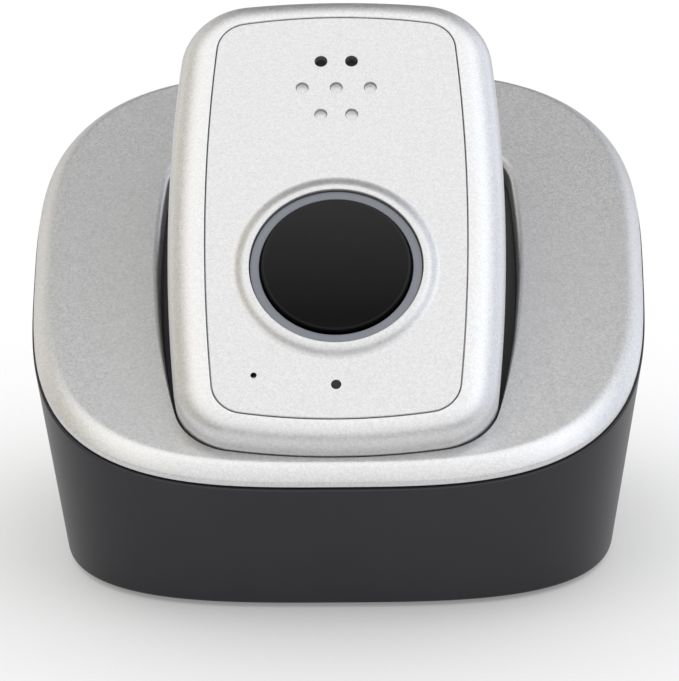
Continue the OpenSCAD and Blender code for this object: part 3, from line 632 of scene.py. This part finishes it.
def bezelShell():
    p, look = pendant, shellLook
    seat = -p["panelThick"] - p["fit"] / 2
    edge, rim, ledge = look["jointEdge"], look["rim"], look["ledge"]
    rings = [faceRing(-p["wall"], -p["joint"])]
    rings += [faceRing(-edge * left, -p["joint"] + edge * turned)
              for turned, left in quarter(look["edgeSteps"])]
    rings += [bezelRing(turned, -p["bezelDrop"] * left, rim)
              for turned, left in quarter(look["bezelSteps"])]
    rings += [faceRing(rim * left, -rim * turned, panelForm)
              for turned, left in quarter(look["rimSteps"])[1:]]
    rings += [faceRing(0, seat, panelForm), faceRing(-ledge, seat, panelForm),
              faceRing(-ledge, seat - look["ledgeThick"], panelForm),
              faceRing(-p["wall"], -p["bezelDrop"] - look["bezelSkin"])]
    piece = Shell().loft(rings, closed=True).piece("bezelShell")
    place(piece, "pendant", finishes["silver"], "front_shell")


bores = {
    "postIn": 4.8, "postTurn": 45, "headR": 2.0, "headDepth": 2.6, "threadR": 1.1, "lip": 0.2,
    "padX": 5, "padUp": 7.55, "padR": 1.9, "past": 1,
}


def backShell():
    p, look = pendant, shellLook
    back, top, r, edge = -p["thick"], -p["joint"] - p["gasket"], p["backRound"], look["jointEdge"]
    rings = [faceRing(-r * turned, back + r * left)
             for turned, left in reversed(quarter(look["backSteps"]))]
    rings += [faceRing(-edge * turned, top - edge * left)
              for turned, left in quarter(look["edgeSteps"])]
    rings += [faceRing(-p["wall"], top), faceRing(-p["wall"], back + r), faceRing(-r, back + p["wall"])]
    piece = Shell().loft(rings).flat(rings[0]).flat(rings[-1]).piece("backShell")
    *_, low, high = centres(pendantForm)
    inX, inY = cosd(bores["postTurn"]), sind(bores["postTurn"])
    low += (p["lowCornerR"] - bores["postIn"]) * Vector((inX, -inY))
    high += (p["cornerR"] - bores["postIn"]) * Vector((inX, inY))
    seat, lip, past = back + bores["headDepth"], bores["lip"], bores["past"]

    def mouth(r):                          # a bore's eased opening in the back
        return [(r + lip, back - past), (r + lip, back), (r, back + lip)]

    headR, threadR, padR = bores["headR"], bores["threadR"], bores["padR"]
    headWall = mouth(headR) + [(headR, seat), (threadR, seat), (threadR, top + past)]
    padWall = mouth(padR) + [(padR, back + p["wall"] + past)]
    spots = [(x * post.x, post.y, headWall) for x in (-1, 1) for post in (low, high)]
    spots += [(x * bores["padX"], bores["padUp"] - halfLength, padWall) for x in (-1, 1)]
    cutAway(piece, *[drill("backBore", onFace(x, v, 0), outward, wall) for x, v, wall in spots])
    place(piece, "pendant", finishes["silver"], "rear_shell")


panelLook = {
    "edge": 0.2, "speakerIn": 17.35, "holeR": 0.97, "pitch": 5.2, "row": 4.8, "stagger": 0.45,
    "dimple": 0.7, "dimpleEase": 0.25, "rim": 0.08,
    "micX": -11.9, "micUp": 11.45, "micR": 0.42, "lightUp": 9.9, "lightR": 0.72,
    "collarWidth": 2.55, "collarHeight": 0.78, "collarFlat": 0.7, "collarEdge": 0.15, "collarEase": 0.4,
    "edgeSteps": 5, "collarSteps": 18, "rimSteps": 4,
}
button = {
    "capR": 11.05, "capRise": 1, "capRound": 0.55, "run": 0.3, "ringWidth": 1.35,
    "skin": 1.4, "flangeThick": 1, "flangeOver": 0.6, "stemR": 2.2, "stemDrop": 1.45,
    "edge": 0.12, "edgeSteps": 4, "roundSteps": 10,
}
ringR = button["capR"] + button["run"] + button["ringWidth"]
panelPaint = {                             # painted shade: a dark ball about the microphone's hole
    **silverLook, "dark": 0.485, "light": 0.645,
    "paintedShadeDeep": 0.75, "paintedShadeFrom": 0.78, "paintedShadeTo": 0.83, "paintedShadeTone": 0.01,
}


def facePanel():
    p, look = pendant, panelLook
    thick, edge, fit = p["panelThick"], look["edge"], p["fit"]
    rings = [faceRing(-fit, -thick, panelForm)]
    rings += [faceRing(-fit - edge * turned, -edge * left, panelForm)
              for turned, left in quarter(look["edgeSteps"])]
    shell = Shell().loft(rings)
    boreR, seatV = ringR + fit, -p["buttonDrop"]
    crest, flat, turn = look["collarHeight"], look["collarFlat"], look["collarEdge"]
    bead = [(boreR, -thick)]
    bead += [(boreR + turn * turned, crest - turn * left) for turned, left in quarter(look["rimSteps"])]
    for t in steps(0, 1, look["collarSteps"]):         # an even fall, eased at crest and foot
        fall = t - look["collarEase"] * sind(360 * t) / (2 * math.pi)
        bead.append((boreR + flat + (look["collarWidth"] - flat) * t, crest * (1 - fall)))
    around, few = turnCounts["button"], turnCounts["hole"]
    lathe(bead, 0, seatV, around, shell)
    speakerV = halfLength - look["speakerIn"]
    near = look["pitch"] * look["stagger"]
    holes = [(x * near, speakerV + look["row"], look["holeR"], thick) for x in (-1, 1)]
    holes += [(x * look["pitch"], speakerV, look["holeR"], look["dimple"]) for x in (-1, 0, 1)]
    holes += [(x * near, speakerV - look["row"], look["holeR"], look["dimple"]) for x in (-1, 1)]
    holes.append((look["micX"], look["micUp"] - halfLength, look["micR"], thick))
    holes.append((0, look["lightUp"] - halfLength, look["lightR"], thick))
    mouths = [circle(0, seatV, boreR + look["collarWidth"], 0, around)]
    floors = [circle(0, seatV, boreR, -thick, around)]
    rim, ease, bend = look["rim"], look["dimpleEase"], quarter(look["rimSteps"])
    for x, v, r, deep in holes:
        wall = [(r + rim * left, -rim * turned) for turned, left in bend]
        mouths.append(circle(x, v, r + rim, 0, few))
        if deep == thick:
            wall.append((r, -thick))
            floors.append(circle(x, v, r, -thick, few))
        else:
            wall += [(r * (1 - ease * turned), -deep + ease * left) for turned, left in bend]
            shell.disc(circle(x, v, r * (1 - ease), -deep, few))
        lathe(wall, x, v, few, shell)
    shell.flat(rings[-1], *mouths).flat(rings[0], *floors)
    piece = shell.piece("facePanel")
    # painted shade inside the microphone's hole
    paintedShade = onFace(look["micX"], look["micUp"] - halfLength, -panelPaint["paintedShadeDeep"])
    place(piece, "pendant", silverPaint("panelSilver", panelPaint, paintedShade), "front_panel")


def buttonRing():
    b, low, high = button, -pendant["panelThick"], pendant["ringRise"]
    inner, edge, bend = b["capR"] + b["run"], b["edge"], quarter(b["edgeSteps"])
    profile = [(inner, low)]
    profile += [(inner + edge * turned, high - edge * left) for turned, left in bend]
    profile += [(ringR - edge * left, high - edge * turned) for turned, left in bend]
    profile += [(ringR, low), (inner, low)]
    piece = lathe(profile, 0, -pendant["buttonDrop"], turnCounts["button"]).piece("buttonRing")
    place(piece, "pendant", finishes["ringGrey"], "button_ring")


def buttonCap():
    b, around, seatV = button, turnCounts["button"], -pendant["buttonDrop"]
    seat = -pendant["panelThick"] - pendant["fit"]
    low = seat - b["flangeThick"]
    stem, stemR = low - b["stemDrop"], b["stemR"]
    r, top, capR = b["capRound"], b["capRise"], b["capR"]
    over, innerR, ceiling = capR + b["run"] + b["flangeOver"], capR - b["skin"], top - b["skin"]
    profile = [(stemR, stem), (stemR, ceiling), (innerR, ceiling)]
    profile += [(innerR, low), (over, low), (over, seat), (capR, seat)]
    profile += [(capR - r * turned, top - r * left) for turned, left in quarter(b["roundSteps"])]
    shell = lathe(profile, 0, seatV, around)
    shell.disc(circle(0, seatV, stemR, stem, around)).disc(circle(0, seatV, capR - r, top, around))
    piece = shell.piece("buttonCap")
    place(piece, "button", finishes["buttonBlack"], "sos_button")


cradleBody()
slopingCover()
bezelShell()
backShell()
facePanel()
buttonRing()
buttonCap()
print("pieces made")

# finishes of the nodes that keep their own shape

nodeFinish = {
    "base_plate": "darkPlastic", "rubber_feet": "rubber", "base_screws": "steel",
    "dock_cup": "cupPlastic", "dock_screws": "steel",
    "contact_board": "board", "board_screws": "steel", "contact_barrels": "gold",
    "contact_pin_left": "gold", "contact_pin_right": "gold",
    "power_board": "board", "power_jack": "darkPlastic", "jack_pin": "tin", "power_leads": "rubber",
    "case_gasket": "rubber", "case_screws": "steel",
    "switch_body": "darkPlastic", "switch_plunger": "pale",
    "main_board": "board", "cell_module": "tin", "cell_antenna": "gold", "position_antenna": "pale",
    "battery_pack": "wrap", "speaker": "darkPlastic", "speaker_mesh": "rubber", "microphone": "tin",
    "status_led": "pale", "light_pipe": "window", "charge_pads": "gold",
}
softEdge = {                               # bevel in millimetres on the nodes that can be seen
    "base_plate": 0.25, "rubber_feet": 0.25, "base_screws": 0.12, "dock_cup": 0.15, "power_jack": 0.15,
    "jack_pin": 0.2, "case_gasket": 0.05, "case_screws": 0.1, "light_pipe": 0.05, "charge_pads": 0.08,
    "contact_barrels": 0.05, "contact_pin_left": 0.08, "contact_pin_right": 0.08,
}
bevelLook = {"from": 35, "segments": 2, "weld": 1e-6}
for name, finish in nodeFinish.items():
    keep = nodes[name]
    keep.data.materials.clear()
    keep.data.materials.append(finishes[finish])
    if name in softEdge:
        keep.data.shade_smooth()
        keep.modifiers.new("weld", "WELD").merge_threshold = bevelLook["weld"]
        bevel = keep.modifiers.new("bevel", "BEVEL")
        bevel.limit_method, bevel.angle_limit = "ANGLE", math.radians(bevelLook["from"])
        bevel.width, bevel.segments = softEdge[name] * mm, bevelLook["segments"]
        keep.modifiers.new("evenNormals", "WEIGHTED_NORMAL").keep_sharp = True
print("nodes finished:", len(nodeFinish))

# floor, light and camera

studio = {
    "floorSize": 8.0, "floorTone": 0.92, "floorVary": 0.02, "floorCloud": 40, "floorGlow": 0.7,
    "contactReach": 60, "contactTilt": 55, "contactDepth": 0.85, "contactSamples": 16,
    "ambient": 0.14,
    "boxes": (                             # turn from the front, rise, full and faded half-angles
        {"turn": 0, "rise": 58, "full": 32, "faded": 60, "glow": (1.22, 1.22, 1.22)},
        {"turn": 180, "rise": 82, "full": 10, "faded": 45, "glow": (0.25, 0.25, 0.25)},
        {"turn": 90, "rise": 25, "full": 25, "faded": 55, "glow": (0.85, 0.89, 0.98)},
        {"turn": -90, "rise": 30, "full": 20, "faded": 55, "glow": (0.53, 0.49, 0.41)},
        {"turn": 140, "rise": 15, "full": 10, "faded": 40, "glow": (0.52, 0.52, 0.55)},
        {"turn": -140, "rise": 15, "full": 10, "faded": 40, "glow": (0.63, 0.62, 0.61)},
    ),
}
floorRays = ("Is Camera Ray", "Is Glossy Ray", "Is Transmission Ray")   # these see the floor near white


def floor():
    look, half = studio, studio["floorSize"] / 2
    mesh = bpy.data.meshes.new("floor")
    corners = [(-half, -half, 0), (half, -half, 0), (half, half, 0), (-half, half, 0)]
    mesh.from_pydata(corners, [], [(0, 1, 2, 3)])
    f = Finish("floorWhite")
    cloud = f.noise(look["floorCloud"], "broad")
    tone = f.blend(cloud, grey(look["floorTone"]), grey(look["floorTone"] + look["floorVary"]))
    lit = f.node("ShaderNodeBsdfDiffuse", {}, {"Color": tone})
    tilt = look["contactTilt"]             # the soft shadow falls mostly to the front
    lean = f.node("ShaderNodeCombineXYZ", {}, {"X": 0.0, "Y": sind(tilt), "Z": cosd(tilt)})
    near = f.node("ShaderNodeAmbientOcclusion", {"samples": look["contactSamples"]}, {
        "Distance": look["contactReach"] * mm, "Normal": lean,
    }, "AO")
    shade = 1 - (1 - near) * look["contactDepth"]
    glow = f.node("ShaderNodeEmission", {}, {"Color": shade, "Strength": 1.0})
    seen = sum(f.node("ShaderNodeLightPath", {}, {}, ray) for ray in floorRays)
    f.close(f.node("ShaderNodeMixShader", {}, {0: seen * look["floorGlow"], 1: lit, 2: glow}))
    mesh.materials.append(f.material)
    linked("floor", mesh)


def world():
    made = bpy.data.worlds.new("studio")
    bpy.context.scene.world = made
    made.use_nodes = True
    f = Finish("studio", made.node_tree)
    gaze = f.node("ShaderNodeTexCoord", {}, {}, "Generated")
    light = grey(studio["ambient"])
    for box in studio["boxes"]:
        flat = cosd(box["rise"])
        aim = (flat * sind(box["turn"]), -flat * cosd(box["turn"]), sind(box["rise"]))
        near = f.node("ShaderNodeVectorMath", {"operation": "DOT_PRODUCT"}, {0: gaze, 1: aim}, "Value")
        mask = f.ramp(near, cosd(box["faded"]), cosd(box["full"]), "SMOOTHSTEP")
        light = f.node("ShaderNodeMix", {"data_type": "RGBA", "blend_type": "ADD"}, {
            "Factor": mask, "A": light, "B": (*box["glow"], 1),
        })
    sky = f.node("ShaderNodeBackground", {}, {"Color": light, "Strength": 1.0})
    f.close(sky, "ShaderNodeOutputWorld")


shot = {                                   # place, angles, and focal length in pixels of the longer side
    "at": (5.495, -393.274, 148.048), "turn": -0.796, "dip": 17.023, "roll": -0.659,
    "focal": 2602.5, "long": 681, "sensor": 36, "clip": (0.01, 20),
}


def camera():
    data = bpy.data.cameras.new("photoView")
    data.sensor_width = shot["sensor"]
    data.lens = shot["focal"] / shot["long"] * shot["sensor"]
    data.clip_start, data.clip_end = shot["clip"]
    made = linked("photoView", data)
    turn = Matrix.Rotation(math.radians(-shot["turn"]), 4, "Z")
    dip = Matrix.Rotation(math.radians(90 - shot["dip"]), 4, "X")
    roll = Matrix.Rotation(math.radians(shot["roll"]), 4, "Z")
    made.matrix_world = Matrix.Translation(Vector(shot["at"]) * mm) @ turn @ dip @ roll
    bpy.context.scene.camera = made


floor()
world()
camera()
bpy.context.scene.view_settings.view_transform = "Standard"
print("studio ready")
